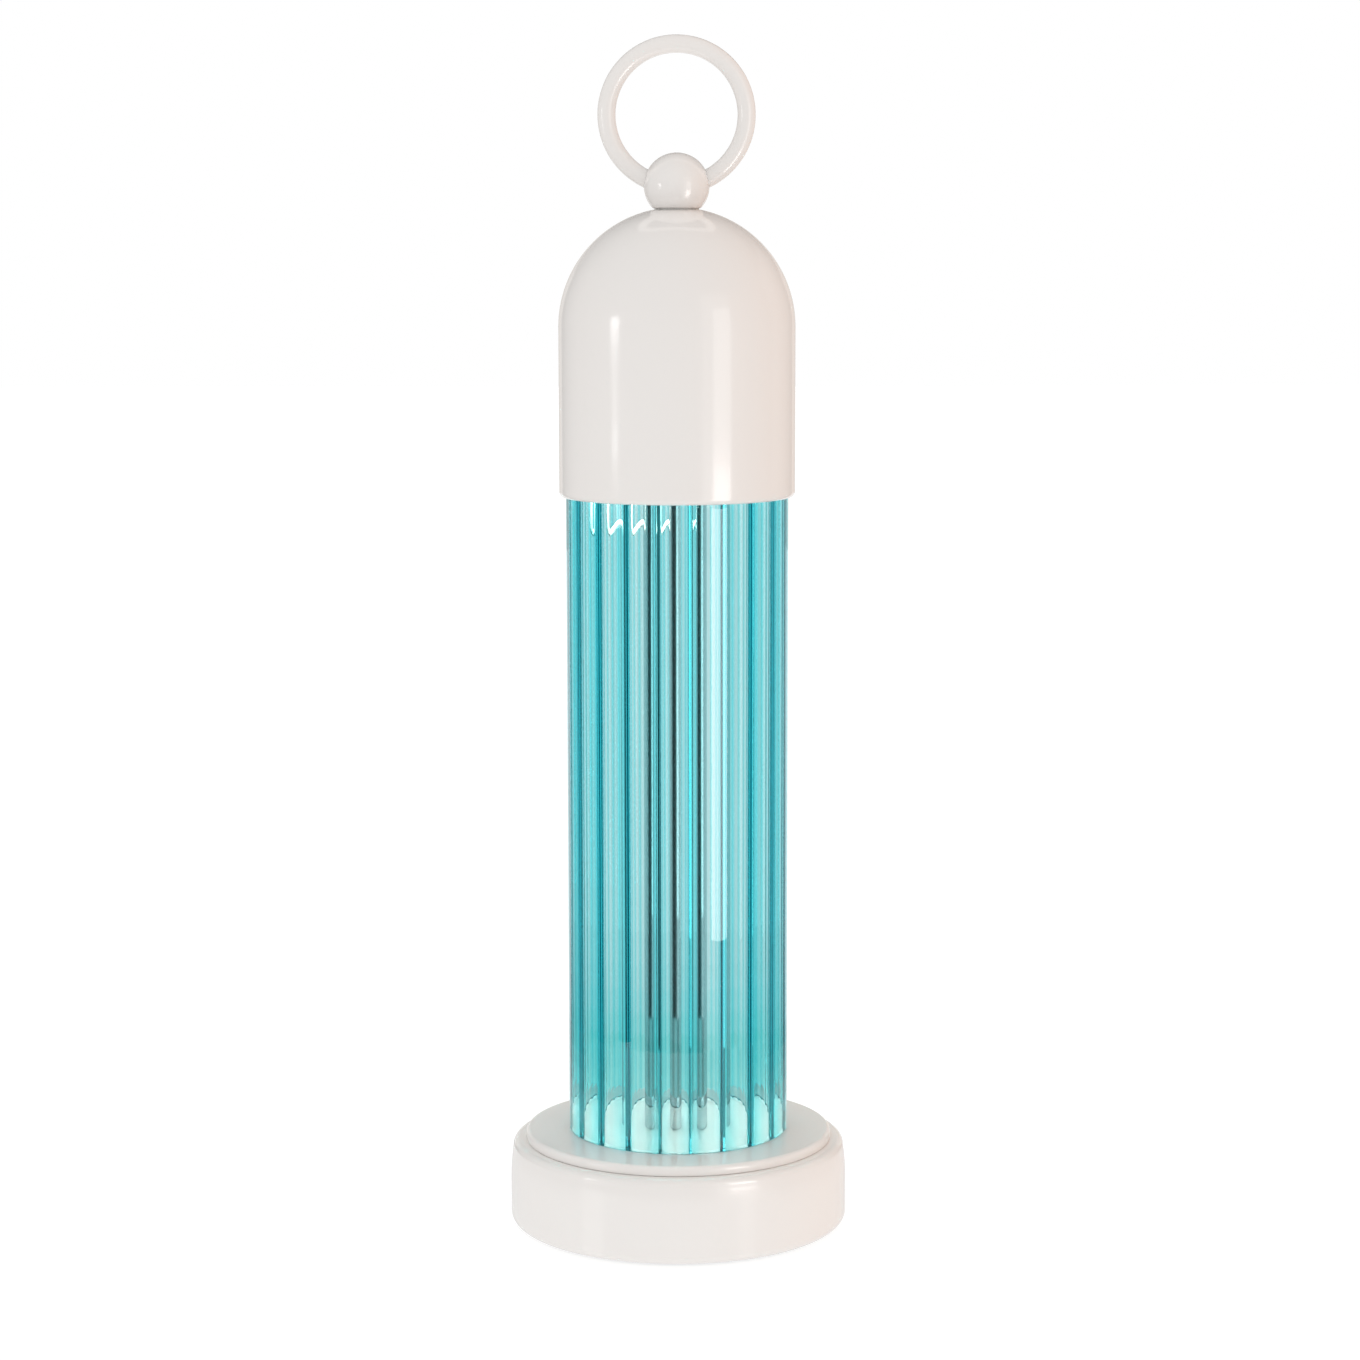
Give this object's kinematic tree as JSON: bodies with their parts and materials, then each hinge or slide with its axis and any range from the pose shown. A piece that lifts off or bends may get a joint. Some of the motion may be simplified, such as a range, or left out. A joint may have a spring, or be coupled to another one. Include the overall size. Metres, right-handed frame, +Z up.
{
  "type": "cordless lantern lamp",
  "caption": "Cordless lantern lamp: round weighted base, closed fluted glass column round a polished stem, domed cap with a ball and an upright carrying ring.",
  "frame": {"origin": "centre of the base on the surface that the foot pads stand on", "axes": "+Z up along the lamp's axis, +Y out of the back, where the charging socket and the power button are, +X to the right of someone who faces the front"},
  "size_m": [0.1086, 0.1086, 0.3802],
  "materials": {
    "lacquer": "glossy cream lacquer",
    "glass": "clear aqua glass, polished",
    "stem_steel": "mirror polished",
    "zinc": "zinc plated",
    "carrier_aluminium": "bead blasted",
    "silicone": "translucent white silicone",
    "foot_rubber": "matt black",
    "panel_plastic": "fine moulded texture, cream",
    "black_plastic": "black",
    "board_green": "green solder mask",
    "board_white": "white solder mask",
    "phosphor": "yellow phosphor",
    "diffuser": "frosted opal",
    "nickel": "nickel plated",
    "cell_wrap": "blue shrink wrap",
    "lead_red": "red insulation",
    "lead_black": "black insulation",
    "nylon": "natural white",
    "ballast_steel": "black powder coat"
  },
  "bodies": {
    "lamp": {"base_drum": "lacquer", "top_plate": "lacquer", "dome_shell": "lacquer", "fluted_column": "glass", "stem_sleeve": "stem_steel", "lamp_pipe": "zinc", "lower_washer": "zinc", "lower_nut": "zinc", "carrier_washer": "zinc", "carrier_nut": "zinc", "dome_washer": "zinc", "dome_nut": "zinc", "cover_screw_1": "zinc", "cover_screw_2": "zinc", "cover_screw_3": "zinc", "board_screw_left": "zinc", "board_screw_right": "zinc", "driver_inductor": "zinc", "led_carrier": "carrier_aluminium", "column_gasket_lower": "silicone", "column_gasket_upper": "silicone", "feed_lead": "silicone", "foot_pad_1": "foot_rubber", "foot_pad_2": "foot_rubber", "foot_pad_3": "foot_rubber", "foot_pad_4": "foot_rubber", "control_panel": "panel_plastic", "cell_tray": "black_plastic", "tact_switch": "black_plastic", "driver_chip": "black_plastic", "control_board": "board_green", "led_board": "board_white", "led_1": "phosphor", "led_2": "phosphor", "led_3": "phosphor", "led_4": "phosphor", "led_5": "phosphor", "led_6": "phosphor", "diffuser": "diffuser", "charge_light": "diffuser", "usb_c_socket": "nickel", "bus_strip": "nickel", "terminal_left": "nickel", "terminal_right": "nickel", "cell_left": "cell_wrap", "cell_right": "cell_wrap", "battery_lead_right": "lead_red", "led_lead_right": "lead_red", "battery_lead_left": "lead_black", "led_lead_left": "lead_black", "ballast_plate": "ballast_steel"},
    "button": {"power_button": "panel_plastic", "switch_plunger": "black_plastic"},
    "finial_seat": {"finial_washer": "nylon"},
    "finial": {"finial_ball": "lacquer", "carry_ring": "lacquer"}
  },
  "joints": [
    {"name": "power_button_press", "type": "slide", "parent": "lamp", "child": "button", "axis": [0, -1, 0], "range_m": [0, 0.0008], "stiffness_N_per_m": 2000, "springref_m": -0.0002},
    {"name": "finial_rise", "type": "slide", "parent": "lamp", "child": "finial_seat", "axis": [0, 0, 1], "range_m": [0, 0.005]},
    {"name": "finial_turn", "type": "hinge", "parent": "finial_seat", "child": "finial", "pos_m": [0, 0, 0.33], "axis": [0, 0, 1], "range_deg": [0, 1440]}
  ],
  "couplings": [
    {"joint": "finial_rise", "follows": "finial_turn", "m_per_rad": 0.00019894}
  ]
}
